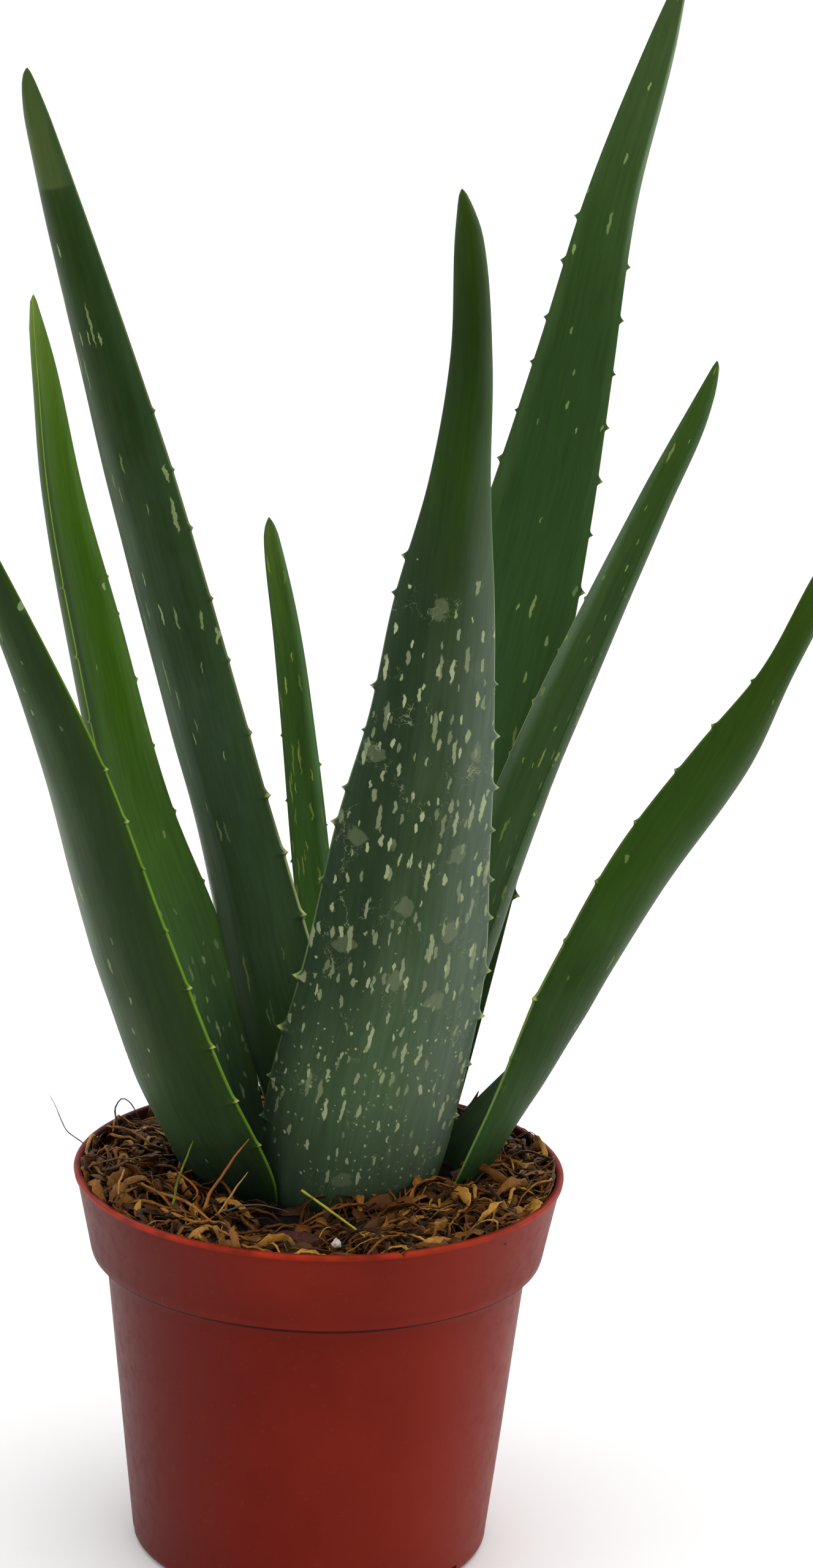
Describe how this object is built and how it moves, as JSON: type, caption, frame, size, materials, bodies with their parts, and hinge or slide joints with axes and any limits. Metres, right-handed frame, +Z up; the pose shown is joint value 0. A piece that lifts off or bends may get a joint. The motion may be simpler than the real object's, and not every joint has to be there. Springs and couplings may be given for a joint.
{
  "type": "potted aloe plant",
  "caption": "Aloe rosette of tall toothed fleshy leaves with a short stem, growing in a thin terracotta-red nursery pot filled with dark potting mix and coir mulch.",
  "frame": {"origin": "centre of the pot's flat underside, which rests on the surface", "axes": "+Z up, along the pot axis and the plant; -Y towards the side with the large front leaf; +X to the right of that view"},
  "size_m": [0.2108, 0.1564, 0.3851],
  "materials": {
    "pot_plastic": "satin moulded terracotta red plastic",
    "potting_mix": "crumbly, near-black, damp peat",
    "stem": "pale green-brown, fibrous",
    "coir": "tangled golden-brown fibre",
    "strand": "dry golden fibre",
    "green_straw": "dry yellow-green straw",
    "hair": "fine grey root hair",
    "bark": "dark reddish bark",
    "perlite": "white expanded mineral",
    "leaf_front": "waxy dark green with grey bloom and pale flecks",
    "leaf_front_left": "waxy dark blue-green, soft bloom",
    "leaf_left_bright": "bright yellow-green, satin",
    "leaf_left_tall": "waxy dark green with pale flecks",
    "leaf_centre_young": "bright green with yellow streaks, satin",
    "leaf_back_right_tall": "deep green, satin",
    "leaf_right_rear": "mid green with yellow flecks",
    "leaf_right": "mid green, satin"
  },
  "bodies": {
    "root": {"pot": "pot_plastic", "potting_mix": "potting_mix", "stem": "stem", "coir_mulch": "coir", "leaf_front": "leaf_front", "leaf_front_left": "leaf_front_left", "leaf_left_bright": "leaf_left_bright", "leaf_left_tall": "leaf_left_tall", "leaf_centre_young": "leaf_centre_young", "leaf_back_right_tall": "leaf_back_right_tall", "leaf_right_rear": "leaf_right_rear", "leaf_right": "leaf_right", "straw_green": "green_straw", "strand_orange": "strand", "strand_pale": "strand", "strand_tan_upper": "strand", "strand_tan_long": "strand", "strand_dark": "hair", "straw_yellow": "green_straw", "strand_bent": "strand", "strand_right": "strand", "hair_left": "hair", "hair_loop": "hair", "bark_chip_back": "bark", "bark_chip_front": "bark", "perlite_grain_front": "perlite", "perlite_grain_right": "perlite"}
  },
  "joints": []
}
